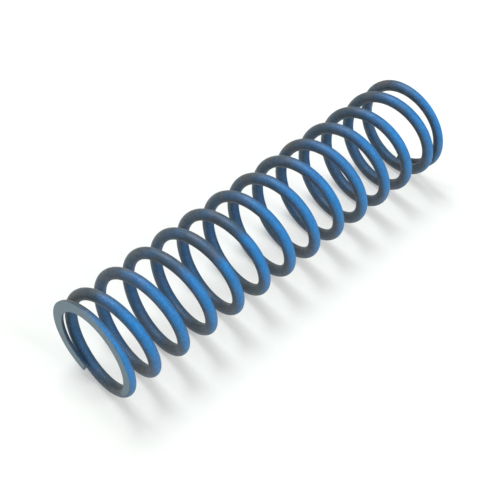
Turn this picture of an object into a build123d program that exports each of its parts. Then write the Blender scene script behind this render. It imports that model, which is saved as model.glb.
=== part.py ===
from build123d import *
import os
from math import cos, pi, radians, sin

# A compression spring of round wire, wound right-handed, with closed and ground ends.
# It stands on its lower end: the origin is the centre of that ground face, and +Z
# runs up the axis of the coil. Sizes are in millimetres, and stretches of wire are
# in turns, counted along the coil from one tip or the other.

# --- sizes of the coil ---
outside_diameter = 24.8
wire_diameter = 2.7
free_length = 101.6
total_turns = 13.94

# --- sizes of the two ends ---
closed_turns = 0.27       # wound at the closed pitch, from the tip
opening_turns = 1.14      # over which the pitch then opens to the working pitch
tip_thickness = 1.0       # wire left at the tip by the grinding
tip_clearance = 0.05      # between the tip and the next turn
draw_in = 1.5             # by which the upper tip lies nearer the axis than the coil
draw_in_turns = 0.32      # over which the upper end comes in
lower_tip_angle = 89.5    # degrees round +Z from +X

# --- how finely the winding is built ---
arcs_per_turn = 8

# --- worked out from the sizes ---
coil_radius = (outside_diameter - wire_diameter) / 2
tip_height = tip_thickness - wire_diameter / 2
arc_count = round(total_turns * arcs_per_turn)


def opened_turns(turns):
    """The winding done so far at the open pitch, this many turns from a tip.

    It grows not at all in the closed stretch, smoothly in the opening stretch, and
    turn for turn beyond it.
    """
    share = min(max((turns - closed_turns) / opening_turns, 0), 1)
    beyond = max(turns - closed_turns - opening_turns, 0)
    return opening_turns * (share**3 - share**4 / 2) + beyond


def pitches():
    """The pitch of the closed stretch, and what opening adds to it.

    The first full turn from a tip climbs one wire and the clearance, so the tip lies
    against the next turn, and half of the coil climbs half of the free length.
    """
    one_turn = wire_diameter + tip_clearance
    half_coil = total_turns / 2
    half_climb = free_length / 2 - tip_height
    added = (half_climb - half_coil * one_turn) / (
        opened_turns(half_coil) - half_coil * opened_turns(1)
    )
    return one_turn - added * opened_turns(1), added


closed_pitch, added_pitch = pitches()


def climb(turns):
    """Height of the wire's centre over the ground face, this many turns from its tip."""
    return tip_height + closed_pitch * turns + added_pitch * opened_turns(turns)


def wire_centre(turns):
    """Centre of the wire, this many turns up from the lower tip."""
    to_top = total_turns - turns
    height = climb(turns) if turns < to_top else free_length - climb(to_top)
    radius = coil_radius - draw_in * max(1 - to_top / draw_in_turns, 0) ** 2
    angle = radians(lower_tip_angle) + 2 * pi * turns
    return Vector(radius * cos(angle), radius * sin(angle), height)


def winding():
    """The wire's centre line: short arcs, each one tangent to the last."""
    angle = radians(lower_tip_angle)
    heading = Vector(-sin(angle), cos(angle), closed_pitch / (2 * pi * coil_radius))
    arcs = []
    for step in range(arc_count):
        start = wire_centre(total_turns * step / arc_count)
        end = wire_centre(total_turns * (step + 1) / arc_count)
        arcs.append(TangentArc(start, end, tangent=heading))
        heading = arcs[-1] % 1
    return Wire(arcs)


def coil_spring():
    """The wire swept along its winding, then ground flat at both ends."""
    path = winding()
    cross_section = Plane(origin=path @ 0, z_dir=path % 0) * Circle(wire_diameter / 2)
    coil = sweep(cross_section, path=path)
    coil = split(coil, bisect_by=Plane.XY, keep=Keep.TOP)
    return split(coil, bisect_by=Plane.XY.offset(free_length), keep=Keep.BOTTOM)


spring = coil_spring()
spring.label = "coil_spring"

os.makedirs("parts", exist_ok=True)
export_step(spring, "parts/coil_spring.step")

working_pitch = closed_pitch + added_pitch
print(f"closed pitch {closed_pitch:.3f} mm, working pitch {working_pitch:.3f} mm")
print(f"volume {spring.volume:.1f} mm3, {len(spring.solids())} solid")
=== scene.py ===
# %% [markdown]
# # A blue compression spring
#
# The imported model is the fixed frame: one spring of round wire that stands on its lower
# ground end, with its axis along +Z. Everything here is in metres, in that same frame.
# The lesson winds the wire again as a clean grid of faces, gives it two passes of blue
# spray over dark spring steel, grinds its ends bright, and sets it before a pale sheet.

# %% Load the frame
from math import cos, pi, radians, sin, tau

import bpy
import numpy as np
from mathutils import Matrix, Vector


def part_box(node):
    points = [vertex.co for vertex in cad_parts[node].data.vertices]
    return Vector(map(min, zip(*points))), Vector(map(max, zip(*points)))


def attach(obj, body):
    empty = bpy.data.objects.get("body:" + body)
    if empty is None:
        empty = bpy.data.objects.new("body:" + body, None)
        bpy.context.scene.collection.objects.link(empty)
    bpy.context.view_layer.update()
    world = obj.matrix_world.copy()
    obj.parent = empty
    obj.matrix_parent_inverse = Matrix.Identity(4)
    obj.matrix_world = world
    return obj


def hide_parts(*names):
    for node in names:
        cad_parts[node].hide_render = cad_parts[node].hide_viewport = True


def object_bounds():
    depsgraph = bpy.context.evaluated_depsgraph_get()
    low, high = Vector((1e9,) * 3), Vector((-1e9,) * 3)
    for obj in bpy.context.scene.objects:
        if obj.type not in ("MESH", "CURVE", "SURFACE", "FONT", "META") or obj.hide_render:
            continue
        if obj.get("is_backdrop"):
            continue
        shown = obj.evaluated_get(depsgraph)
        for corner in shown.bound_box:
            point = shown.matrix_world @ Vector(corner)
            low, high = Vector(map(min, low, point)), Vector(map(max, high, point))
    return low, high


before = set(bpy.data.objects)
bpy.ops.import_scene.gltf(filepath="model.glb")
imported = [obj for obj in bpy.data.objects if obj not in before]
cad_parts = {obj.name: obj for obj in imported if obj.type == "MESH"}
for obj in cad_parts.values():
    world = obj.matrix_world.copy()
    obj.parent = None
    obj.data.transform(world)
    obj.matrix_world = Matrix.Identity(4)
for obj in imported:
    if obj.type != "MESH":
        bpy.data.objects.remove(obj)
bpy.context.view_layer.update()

print("pieces in the frame:", sorted(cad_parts))

# %% [markdown]
# ## The sizes of the coil
#
# A spring maker's drawing gives the outside diameter, the free length, the wire, the
# number of turns, and how each end closes before it is ground flat. The free length is
# read from the frame, so that both ends meet its ground faces. The others are the
# drawing's own, each named once, and every later step takes them from here.

# %% Sizes of the coil
low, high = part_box("coil_spring")
free_length = high.z - low.z
outside_radius = 0.0124
wire_radius = 0.00135
coil_radius = outside_radius - wire_radius
total_turns = 13.94

print(f"coil radius {coil_radius * 1000:.2f} mm over {total_turns} turns")

# %% Sizes of the two ends
closed_turns = 0.27                # wound at the closed pitch, from either tip
opening_turns = 1.14               # over which the pitch then opens
tip_height = 0.001 - wire_radius   # of the wire's centre, over the ground face
tip_clearance = 0.00005            # between a tip and the next turn
draw_in = 0.0015                   # by which the upper tip lies nearer the axis
draw_in_turns = 0.32
lower_tip_angle = radians(89.5)
print(f"each tip is ground to {(tip_height + wire_radius) * 1000:.1f} mm")

# %% [markdown]
# ## The line that the wire follows
#
# The wire climbs at a closed pitch near its tips and at an open pitch between them. End
# turns and body could be three helices joined together, but each joint would show as a
# kink. One formula that opens smoothly from either tip keeps the coil free of them.

# %% Closed and open pitch
def opened_turns(turns):
    """Winding done at the open pitch, this many turns from a tip."""
    share = np.clip((turns - closed_turns) / opening_turns, 0, 1)
    beyond = np.maximum(turns - closed_turns - opening_turns, 0)
    return opening_turns * (share**3 - share**4 / 2) + beyond


one_turn = 2 * wire_radius + tip_clearance
half_coil = total_turns / 2
added_pitch = (free_length / 2 - tip_height - half_coil * one_turn) / (
    opened_turns(half_coil) - half_coil * opened_turns(1)
)
closed_pitch = one_turn - added_pitch * opened_turns(1)
open_pitch = closed_pitch + added_pitch
print(f"closed pitch {closed_pitch * 1000:.3f} mm, open pitch {open_pitch * 1000:.3f} mm")


# %% The wire's centre line
def climb(turns):
    """Height of the wire's centre over the ground face, this many turns from its tip."""
    return tip_height + closed_pitch * turns + added_pitch * opened_turns(turns)


def wire_centre(turns):
    """Centre of the wire, this many turns up from the lower tip."""
    to_top = total_turns - turns
    height = np.where(turns < to_top, climb(turns), free_length - climb(to_top))
    radius = coil_radius - draw_in * np.maximum(1 - to_top / draw_in_turns, 0) ** 2
    angle = lower_tip_angle + tau * turns
    return np.stack([radius * np.cos(angle), radius * np.sin(angle), height], -1)


print("wire starts at", [round(float(part) * 1000, 2) for part in wire_centre(0)], "mm")

# %% [markdown]
# ## The wire as a grid of faces
#
# A curve with a round bevel is the quick way to a coil, but it can't be ground flat and
# it forgets where a point lies round the wire, which the paint needs later. So the wire
# is a grid here: rings of points round the section, one ring after another along the
# line. Each ring knows how far its centre lies from the two grinding planes.

# %% Rings along the wire
rings_per_turn = 96
ring_count = round(total_turns * rings_per_turn) + 1
ring_turns = np.linspace(0, total_turns, ring_count)
centres = wire_centre(ring_turns)


def unit(rows):
    """Each row scaled to a length of one."""
    return rows / np.linalg.norm(rows, axis=-1, keepdims=True)


along = unit(np.gradient(centres, axis=0))
angles = lower_tip_angle + tau * ring_turns
radial = np.stack([np.cos(angles), np.sin(angles), np.zeros(ring_count)], -1)
outward = unit(radial - along * (radial * along).sum(-1, keepdims=True))
upward = np.cross(outward, along)
print(f"{ring_count} rings along the wire")

# %% How far each ring is from being ground
lower_reach = centres[:, 2] / (wire_radius * upward[:, 2])
upper_reach = (free_length - centres[:, 2]) / (wire_radius * upward[:, 2])
lower_end = ring_turns[lower_reach < 1].max()
upper_end = ring_turns[upper_reach < 1].min()
print(f"ground for {lower_end:.2f} turns below and {total_turns - upper_end:.2f} above")

# %% [markdown]
# ## The ground flats
#
# Grinding takes the wire down to a plane, so each section there is a circle with a
# straight cut. A boolean would leave slivers along the cut. Instead nine points of the
# ring are kept for either side: where the plane cuts, they spread along the straight
# edge, and past the flat they fan out again into an even circle.

# %% Points round each ring
flat_points = 9                    # on the side towards each grinding plane
side_points = 15                   # between them, inside and outside
fade_turns = 0.15                  # in which the nine fan out again


def half_angle(reach, turns_past):
    """Half of the angle that one side's points span, seen from the wire's centre."""
    even = pi * (flat_points - 1) / (2 * flat_points + 2 * side_points)
    cut = np.arccos(np.clip(reach, -1, 1))
    return np.where(reach < 1, cut, even * np.clip(turns_past / fade_turns, 0, 1))


def ring_angles(upper, lower):
    """Section angles of one ring: upper side, inner side, lower side, outer side."""
    top, bottom = pi / 2, 3 * pi / 2
    return np.concatenate([
        np.linspace(top - upper, top + upper, flat_points),
        np.linspace(top + upper, bottom - lower, side_points + 2)[1:-1],
        np.linspace(bottom - lower, bottom + lower, flat_points),
        np.linspace(bottom + lower, top + tau - upper, side_points + 2)[1:-1],
    ])


upper_half = half_angle(upper_reach, upper_end - ring_turns)
lower_half = half_angle(lower_reach, ring_turns - lower_end)
section = np.stack([ring_angles(*halves) for halves in zip(upper_half, lower_half)])
points_round = section.shape[1]
print(f"{points_round} points round the wire")

# %% Points of the whole grid
across = np.cos(section)
rise = np.clip(np.sin(section), -lower_reach[:, None], upper_reach[:, None])
points = centres[:, None] + wire_radius * (
    across[..., None] * outward[:, None] + rise[..., None] * upward[:, None]
)
print(f"{points.shape[0] * points.shape[1]} points in all")

# %% [markdown]
# ## The mesh of the spring
#
# The grid's faces follow from its numbering, and the two cut tips are closed with one
# face each. The faces of the flats get the second material, and the edges where they
# meet the round wire are marked sharp, so that the light breaks there as it does on a
# ground edge. Each point also keeps its place: how far it faces out from the coil, how
# far up, and how many turns along the wire it lies.

# %% Faces of the grid
def grid_faces():
    """Four corners of each face, by their numbers."""
    start = np.arange(ring_count - 1)[:, None] * points_round
    here = np.arange(points_round)[None, :]
    beside = (here + 1) % points_round
    onward = start + points_round
    corners = [start + here, start + beside, onward + beside, onward + here]
    return np.stack(corners, -1).reshape(-1, 4)


def ground_faces():
    """True for each face of the grid that lies on a grinding plane."""
    ground = np.zeros((ring_count - 1, points_round), bool)
    cut_above = (upper_reach[:-1] < 1) & (upper_reach[1:] < 1)
    cut_below = (lower_reach[:-1] < 1) & (lower_reach[1:] < 1)
    below = flat_points + side_points
    ground[cut_above, : flat_points - 1] = True
    ground[cut_below, below : below + flat_points - 1] = True
    return ground.ravel()


wire, flat, tip = 0, 1, 2
faces = grid_faces().tolist()
last = (ring_count - 1) * points_round
faces.append(list(range(points_round)))
faces.append([last + point for point in reversed(range(points_round))])
kinds = np.concatenate([np.where(ground_faces(), flat, wire), [tip, tip]]).astype(np.int32)
print(f"{(kinds == flat).sum()} of {len(faces)} faces are ground")

# %% Mesh and sharp edges
def sharp_edges(mesh, kinds):
    """Edges between two kinds of face."""
    kinds_at = {}
    for face, kind in zip(mesh.polygons, kinds):
        for key in face.edge_keys:
            kinds_at.setdefault(key, set()).add(int(kind))
    return [len(kinds_at[tuple(sorted(edge.vertices))]) > 1 for edge in mesh.edges]


mesh = bpy.data.meshes.new("painted_coil")
mesh.from_pydata(points.reshape(-1, 3).tolist(), [], faces)
mesh.shade_smooth()
mesh.polygons.foreach_set("material_index", np.minimum(kinds, flat))
sharp = mesh.attributes.new("sharp_edge", "BOOLEAN", "EDGE")
sharp.data.foreach_set("value", sharp_edges(mesh, kinds))
print("triangles:", sum(len(face.vertices) - 2 for face in mesh.polygons))

# %% The place of each point
place = mesh.attributes.new("wire_place", "FLOAT_VECTOR", "POINT")
turns_at = np.broadcast_to(ring_turns[:, None], section.shape)
values = np.stack([across, np.sin(section), turns_at], -1)
place.data.foreach_set("vector", values.astype(np.float32).ravel())
mesh.update()
print(f"the last ring lies {ring_turns[-1]} turns along the wire")

# %% The spring rides in the frame
spring = bpy.data.objects.new("painted_coil", mesh)
bpy.context.scene.collection.objects.link(spring)
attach(spring, "root")
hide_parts("coil_spring")
print(spring.name, "stands for coil_spring")

# %% [markdown]
# ## Node helpers
#
# A finish in Blender is a tree of nodes, and a tree is wordy to write in full. These
# helpers keep each line of a finish to one thought. The first pair adds a node and fills
# its sockets, either with a number or with a link from another node.

# %% Add a node and fill a socket
def fill(tree, socket, value):
    """Give a socket a plain value, or link it to another node's socket."""
    if isinstance(value, bpy.types.NodeSocket):
        tree.links.new(value, socket)
    else:
        socket.default_value = value


def add(tree, kind, settings=None, **sockets):
    """A node with some of its settings and sockets filled; a _ stands for a space."""
    node = tree.nodes.new("ShaderNode" + kind)
    for name, value in (settings or {}).items():
        setattr(node, name, value)
    for name, value in sockets.items():
        fill(tree, node.inputs[name.replace("_", " ")], value)
    return node


print("nodes are added by add() and their sockets filled by fill()")

# %% [markdown]
# The next helpers are the steps that every finish is made of: a sum, a smooth ramp, a
# product of two vectors, a blend of two colours, and a noise to make them uneven.

# %% Sums, ramps, blends and noise
def sums(tree, operation, *values):
    """One Math node, fed with numbers or sockets."""
    node = add(tree, "Math", {"operation": operation})
    for socket, value in zip(node.inputs, values):
        fill(tree, socket, value)
    return node.outputs[0]


def vectors(tree, operation, first, second):
    """One Vector Math node, and the one output that its operation has."""
    node = add(tree, "VectorMath", {"operation": operation})
    fill(tree, node.inputs[0], first)
    fill(tree, node.inputs[1], second)
    return next(socket for socket in node.outputs if socket.enabled)


def ease(tree, value, start, end, low=0.0, high=1.0):
    """A smooth step from low to high as the value goes from start to end."""
    node = add(tree, "MapRange", {"interpolation_type": "SMOOTHSTEP"}, Value=value)
    limits = {"From Min": start, "From Max": end, "To Min": low, "To Max": high}
    for name, number in limits.items():
        fill(tree, node.inputs[name], number)
    return node.outputs["Result"]


def blend(tree, share, first, second):
    """A mix of two colours."""
    node = add(tree, "Mix", {"data_type": "RGBA"})
    factor, colour_a, colour_b = node.inputs[0], node.inputs[6], node.inputs[7]
    for socket, value in ((factor, share), (colour_a, first), (colour_b, second)):
        fill(tree, socket, value)
    return node.outputs[2]


def noise(tree, where, scale, detail=2.0, rough=0.5):
    """Cloudy values round a half."""
    node = add(tree, "TexNoise", Vector=where, Scale=scale, Detail=detail, Roughness=rough)
    return node.outputs["Fac"]


def swing(tree, value, amount):
    """A value between 0 and 1, turned into a swing about 0."""
    return sums(tree, "MULTIPLY", sums(tree, "SUBTRACT", value, 0.5), amount)


print("helpers for finishes: sums, vectors, ease, blend, noise, swing")

# %% [markdown]
# ## Where a point lies on the wire
#
# A noise laid out in space would cut through the coil, so neighbouring turns would share
# their spots. The place that each point keeps is better: multiplied out to millimetres
# it unrolls the wire, and a spot then runs round the wire and along it as real dirt does.

# %% The unrolled wire
turn_length = tau * coil_radius
to_millimetres = (wire_radius * 1000, wire_radius * 1000, turn_length * 1000)


def wire_place(tree):
    """How far out and up a point faces, and its turns along the wire."""
    return add(tree, "Attribute", {"attribute_name": "wire_place"}).outputs["Vector"]


def wire_skin(tree):
    """The same place in millimetres."""
    return vectors(tree, "MULTIPLY", wire_place(tree), to_millimetres)


print(f"one turn of wire is {turn_length * 1000:.1f} mm long")

# %% [markdown]
# ## Speckle
#
# Both the paint and the ground steel show a fine grain: dried droplets on one, pits and
# dust on the other. A node group is built once and placed in both finishes, so they
# share the effect, and each placement sets its own number of droplets per millimetre.

# %% The speckle group
droplets_per_mm = 8.0
patch_size = 0.1625                # of the droplets' scale
patch_weight = 0.15
speckle_range = (0.3, 0.7)


def speckle_group():
    """Place in mm and droplets per mm in, grain between 0 and 1 out."""
    group = bpy.data.node_groups.new("speckle", "ShaderNodeTree")
    group.interface.new_socket("Place", in_out="INPUT", socket_type="NodeSocketVector")
    group.interface.new_socket("Droplets", in_out="INPUT", socket_type="NodeSocketFloat")
    group.interface.new_socket("Grain", in_out="OUTPUT", socket_type="NodeSocketFloat")
    given = group.nodes.new("NodeGroupInput")
    place, scale = given.outputs["Place"], given.outputs["Droplets"]
    droplets = noise(group, place, scale, 3, 0.6)
    patches = noise(group, place, sums(group, "MULTIPLY", scale, patch_size), 2)
    fine = sums(group, "MULTIPLY", droplets, 1 - patch_weight)
    coarse = sums(group, "MULTIPLY", patches, patch_weight)
    grain = ease(group, sums(group, "ADD", fine, coarse), *speckle_range)
    group.links.new(grain, group.nodes.new("NodeGroupOutput").inputs["Grain"])
    return group


speckle = speckle_group()


def speckled(tree, place, droplets):
    """The speckle group, placed in one finish."""
    node = add(tree, "Group", {"node_tree": speckle}, Place=place, Droplets=droplets)
    return node.outputs["Grain"]


print("speckle group takes", [socket.name for socket in speckle.interface.items_tree])

# %% [markdown]
# ## Where the spray landed
#
# The spring was never dipped: it was sprayed where it lay. The paint is full where the
# wire faces the gun, thins out as the wire curves away, and reaches the inside of the
# far coils only through the gaps. A picture of paint could be wrapped round the wire,
# but the direction that the skin faces already says how much paint it caught. Noise
# roughens the cover, and a few turns were rubbed bare by whatever lay against them.

# %% The guns
def direction(azimuth, elevation):
    """A unit vector, these many degrees round +Z and up from level."""
    round_z, up = radians(azimuth), radians(elevation)
    return Vector((cos(up) * cos(round_z), cos(up) * sin(round_z), sin(up)))


gun = direction(214, 9)
far_gun = direction(40, 9)         # a second, lighter pass from behind
far_share = 0.75
falloff = 1.55                     # how fast the cover thins as the skin turns away
inside_share = 0.46                # of the paint that reaches the inside of the coil
drift_scale, drift_amount = 0.16, 0.45
spots_amount = 0.28
print("the gun sprays from", [round(part, 2) for part in gun])

# %% The rubbed turns
rubbed_turns = (                   # middle and half of each patch, in turns
    (8.47, 0.06),
    (9.47, 0.08),
    (10.48, 0.07),
    (12.60, 0.08),
    (13.66, 0.22),
)
rubbed_edges = (0.4, 1.3)          # of the half, where the paint starts and is back
paint_left = 0.3


def rubbed(tree, cover, turns, drift):
    """The cover, less what the patches lost."""
    for middle, half in rubbed_turns:
        off = sums(tree, "ABSOLUTE", sums(tree, "SUBTRACT", turns, middle))
        off = sums(tree, "ADD", off, sums(tree, "MULTIPLY", drift, 0.2))
        start, end = (half * edge for edge in rubbed_edges)
        cover = sums(tree, "MULTIPLY", cover, ease(tree, off, start, end, paint_left, 1.0))
    return cover


print(f"{len(rubbed_turns)} patches are rubbed down to {paint_left:.0%} of their paint")

# %% The cover of paint
def spray_cover(tree, skin, grain):
    """How much paint lies on the wire, from 0 to 1."""
    normal = add(tree, "TexCoord").outputs["Normal"]
    out_up_along = add(tree, "SeparateXYZ", Vector=wire_place(tree))
    near_pass = vectors(tree, "DOT_PRODUCT", normal, gun)
    far_pass = vectors(tree, "DOT_PRODUCT", normal, far_gun)
    far_pass = sums(tree, "MULTIPLY", far_pass, far_share)
    reach = sums(tree, "MAXIMUM", near_pass, far_pass)
    drift = swing(tree, noise(tree, skin, drift_scale, 3), drift_amount)
    spots = swing(tree, grain, spots_amount)
    reach = sums(tree, "ADD", reach, sums(tree, "ADD", drift, spots))
    cover = sums(tree, "POWER", sums(tree, "MAXIMUM", reach, 0.0), falloff)
    inside = ease(tree, out_up_along.outputs["X"], -0.6, 0.2, inside_share, 1.0)
    cover = sums(tree, "MULTIPLY", cover, inside)
    cover = rubbed(tree, cover, out_up_along.outputs["Z"], drift)
    return sums(tree, "MINIMUM", cover, 1.0)


print(f"the inside of the coil keeps {inside_share:.0%} of the paint")

# %% [markdown]
# ## The painted wire
#
# Thin enamel on oil-tempered wire is satin, not glossy, and the steel beside it is dull
# with a bluish oxide that browns in clouds. The two could be separate materials, but
# then their border would be a hard line between faces. One material blends them, and
# takes its roughness and a slight relief from the same cover and grain, so that a bare
# spot is rougher, darker and a little lower than the paint.

# %% Painted wire
paint_colours = (0.008, 0.145, 0.41, 1), (0.028, 0.30, 0.76, 1)
oxide_colours = (0.038, 0.052, 0.062, 1), (0.100, 0.132, 0.152, 1)
brown_oxide = (0.105, 0.104, 0.100, 1)
bare_metallic = 0.3
paint_height = 0.6                 # against the grain's own height of 1
skin_relief = 0.00006


def new_finish(name):
    """A material with its node tree and its shader."""
    material = bpy.data.materials.new(name)
    material.use_nodes = True
    tree = material.node_tree
    return material, tree, tree.nodes["Principled BSDF"]


def painted_wire():
    """Satin blue paint, thinning to oxide-dark steel."""
    material, tree, shader = new_finish("painted_wire")
    skin = wire_skin(tree)
    grain = speckled(tree, skin, droplets_per_mm)
    cover = spray_cover(tree, skin, grain)
    paint = blend(tree, grain, *paint_colours)
    oxide = blend(tree, grain, *oxide_colours)
    clouds = ease(tree, noise(tree, skin, 0.5, 4, 0.6), 0.48, 0.62)
    steel = blend(tree, clouds, oxide, brown_oxide)
    metal = sums(tree, "MULTIPLY", sums(tree, "SUBTRACT", 1.0, cover), bare_metallic)
    fill(tree, shader.inputs["Base Color"], blend(tree, cover, steel, paint))
    fill(tree, shader.inputs["Metallic"], metal)
    fill(tree, shader.inputs["Roughness"], ease(tree, grain, 0.0, 1.0, 0.52, 0.38))
    shader.inputs["Specular IOR Level"].default_value = 0.3
    relief = sums(tree, "ADD", grain, sums(tree, "MULTIPLY", cover, paint_height))
    bump = add(tree, "Bump", Height=relief, Strength=0.35, Distance=skin_relief)
    fill(tree, shader.inputs["Normal"], bump.outputs["Normal"])
    return material


spring.data.materials.append(painted_wire())
print("painted wire has", len(spring.data.materials[0].node_tree.nodes), "nodes")

# %% [markdown]
# ## The ground faces
#
# A wide wheel grinds the whole end flat at once. It leaves fine straight lines, all the
# same way, on steel that is pale and bare but for some staining and a mist of overspray.
# The lines come from noise that is squeezed across their length, in place of a picture.

# %% Ground steel
line_scale = (9000, 500, 500)      # per metre: many lines across, few breaks along
line_angle = radians(35)
steel_colours = (0.085, 0.14, 0.165, 1), (0.215, 0.29, 0.32, 1)
stained_steel = (0.15, 0.175, 0.195, 1)
overspray = (0.02, 0.2, 0.5, 1)
overspray_share = 0.3
line_relief = 0.00003


def ground_steel():
    """Pale steel with fine straight lines."""
    material, tree, shader = new_finish("ground_steel")
    spot = add(tree, "TexCoord").outputs["Object"]
    turned = add(tree, "Mapping", Vector=spot, Rotation=(0, 0, line_angle), Scale=line_scale)
    lines = noise(tree, turned.outputs["Vector"], 1.0, 3, 0.6)
    skin = wire_skin(tree)
    grain = speckled(tree, skin, droplets_per_mm)
    grain_half = sums(tree, "MULTIPLY", grain, 0.5)
    lines_half = sums(tree, "MULTIPLY", lines, 0.5)
    steel = blend(tree, sums(tree, "ADD", grain_half, lines_half), *steel_colours)
    stains = ease(tree, noise(tree, skin, 0.22, 2), 0.5, 0.75)
    steel = blend(tree, stains, steel, stained_steel)
    mist = sums(tree, "MULTIPLY", ease(tree, grain, 0.35, 1.0), overspray_share)
    fill(tree, shader.inputs["Base Color"], blend(tree, mist, steel, overspray))
    shader.inputs["Metallic"].default_value = 0.45
    fill(tree, shader.inputs["Roughness"], ease(tree, lines, 0.3, 0.7, 0.38, 0.55))
    bump = add(tree, "Bump", Height=lines, Strength=0.25, Distance=line_relief)
    fill(tree, shader.inputs["Normal"], bump.outputs["Normal"])
    return material


spring.data.materials.append(ground_steel())
print("finishes on the spring:", [finish.name for finish in spring.data.materials])

# %% [markdown]
# ## The camera
#
# The spring lies on its side on a sheet. The frame stands it up instead, so here the
# sheet stands up too, and "up from the sheet" is -Y. The camera looks down on the sheet
# from near the upper end, from only ten diameters away, and that nearness makes the far
# coils so much smaller.

# %% Camera
sheet_up = Vector((0, -1, 0))
look_down = radians(46.67)
heading = radians(44.71)           # from the spring's axis, to the side
aim = Vector((-0.00314, 0, 0.05778))
distance = 0.26202


def camera_turn():
    """The way the camera faces, as a matrix, and the direction back towards it."""
    level_back = Vector((-sin(heading), 0, cos(heading)))
    back = sheet_up * sin(look_down) + level_back * cos(look_down)
    right = sheet_up.cross(back).normalized()
    return Matrix((right, back.cross(right), back)).transposed().to_4x4(), back


rotation, back = camera_turn()
camera = bpy.data.objects.new("camera", bpy.data.cameras.new("camera"))
camera.data.lens = 83.90
camera.data.sensor_width = 36
camera.data.clip_start = 0.01
camera.matrix_world = Matrix.Translation(aim + back * distance) @ rotation
bpy.context.scene.collection.objects.link(camera)
bpy.context.scene.camera = camera
print("camera at", [round(part * 1000) for part in aim + back * distance], "mm")

# %% [markdown]
# ## The pale sheet
#
# A white sheet under a strong lamp would do, but it would also throw that light back on
# the spring. So the sheet is a plain pale diffuse surface, and only the camera and the
# reflections see some white glow mixed in: a little near the spring, where the shadow
# has to show, and all of it further off. From behind, the sheet is clear.

# %% Sheet mesh
sheet_half = 2.0
spring_middle = Vector((0, 0, free_length / 2))


def sheet_mesh():
    """A square that touches the spring's side and faces away along -Y."""
    signs = ((-1, -1), (1, -1), (1, 1), (-1, 1))
    corners = [(x * sheet_half, outside_radius, z * sheet_half) for x, z in signs]
    square = bpy.data.meshes.new("sheet")
    square.from_pydata(corners, [], [(0, 1, 2, 3)])
    return square


sheet = bpy.data.objects.new("sheet", sheet_mesh())
bpy.context.scene.collection.objects.link(sheet)
sheet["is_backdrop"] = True
print("sheet touches the spring at y =", round(outside_radius * 1000, 2), "mm")

# %% Sheet paper
glow_near, glow_far = 0.38, 1.0
glow_start, glow_end = 0.08, 0.18  # distances from the spring's middle


def background_seen(tree):
    """1 for rays that look at the background, 0 for rays that light the spring."""
    rays = add(tree, "LightPath").outputs
    seen = sums(tree, "MAXIMUM", rays["Is Camera Ray"], rays["Is Glossy Ray"])
    return sums(tree, "MAXIMUM", seen, rays["Is Transmission Ray"])


def mixed(tree, share, first, second):
    """A mix of two shaders."""
    node = add(tree, "MixShader", Fac=share)
    tree.links.new(first.outputs[0], node.inputs[1])
    tree.links.new(second.outputs[0], node.inputs[2])
    return node


def pale_paper():
    """Diffuse paper that glows white only where it is looked at."""
    material = bpy.data.materials.new("pale_paper")
    material.use_nodes = True
    tree = material.node_tree
    tree.nodes.clear()
    spot = add(tree, "NewGeometry")
    away = vectors(tree, "DISTANCE", spot.outputs["Position"], spring_middle)
    glow = ease(tree, away, glow_start, glow_end, glow_near, glow_far)
    share = sums(tree, "MULTIPLY", background_seen(tree), glow)
    paper = add(tree, "BsdfDiffuse", Color=(0.88, 0.92, 0.88, 1))
    white = add(tree, "Emission", Color=(1, 1, 1, 1), Strength=1.0)
    front = mixed(tree, share, paper, white)
    sided = mixed(tree, spot.outputs["Backfacing"], front, add(tree, "BsdfTransparent"))
    tree.links.new(sided.outputs[0], add(tree, "OutputMaterial").inputs["Surface"])
    return material


sheet.data.materials.append(pale_paper())
print(f"sheet is fully white {glow_end * 1000:.0f} mm from the spring's middle")

# %% [markdown]
# ## Soft light
#
# A big soft lamp above the sheet gives the shadow, and a weaker one fills the flank that
# faces away from it. The world lights everything a little from all round. What shows of
# the world behind the spring is plain white. The gloss of the wire sees the studio level.

# %% World
white_level = 1.0
studio_level = 0.38


def studio_world():
    """An even studio, white where it shows."""
    world = bpy.data.worlds.new("studio")
    world.use_nodes = True
    tree = world.node_tree
    seen = add(tree, "LightPath").outputs["Is Camera Ray"]
    shown = sums(tree, "MULTIPLY", seen, white_level - studio_level)
    background = tree.nodes["Background"]
    background.inputs["Color"].default_value = (1, 1, 1, 1)
    fill(tree, background.inputs["Strength"], sums(tree, "ADD", shown, studio_level))
    return world


bpy.context.scene.world = studio_world()
print(f"world lights the spring at {studio_level} and shows at {white_level}")

# %% Lamps
lamp_distance = 0.8


def soft_lamp(name, towards, size, power):
    """A round area lamp, out along a direction and turned to the spring's middle."""
    data = bpy.data.lights.new(name, "AREA")
    data.shape = "DISK"
    data.size = size
    data.energy = power
    lamp = bpy.data.objects.new(name, data)
    bpy.context.scene.collection.objects.link(lamp)
    way = Vector(towards).normalized()
    lamp.location = spring_middle + way * lamp_distance
    lamp.rotation_mode = "QUATERNION"
    lamp.rotation_quaternion = way.to_track_quat("Z", "Y")
    print(f"{name} lamp: {power} W, {size} m wide")


soft_lamp("key", (0.42, -0.9, -0.08), size=0.42, power=5.0)
soft_lamp("fill", (-0.78, -0.6, -0.15), size=0.4, power=2.5)
bpy.context.scene.view_settings.view_transform = "Standard"

# %% [markdown]
# ## The size, once more
#
# The finished spring must be as large as the imported one. Its box is printed here in
# millimetres.

# %% Size
visual_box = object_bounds()
sides = visual_box[1] - visual_box[0]
print("the finished spring in mm:", [round(side * 1000, 2) for side in sides])
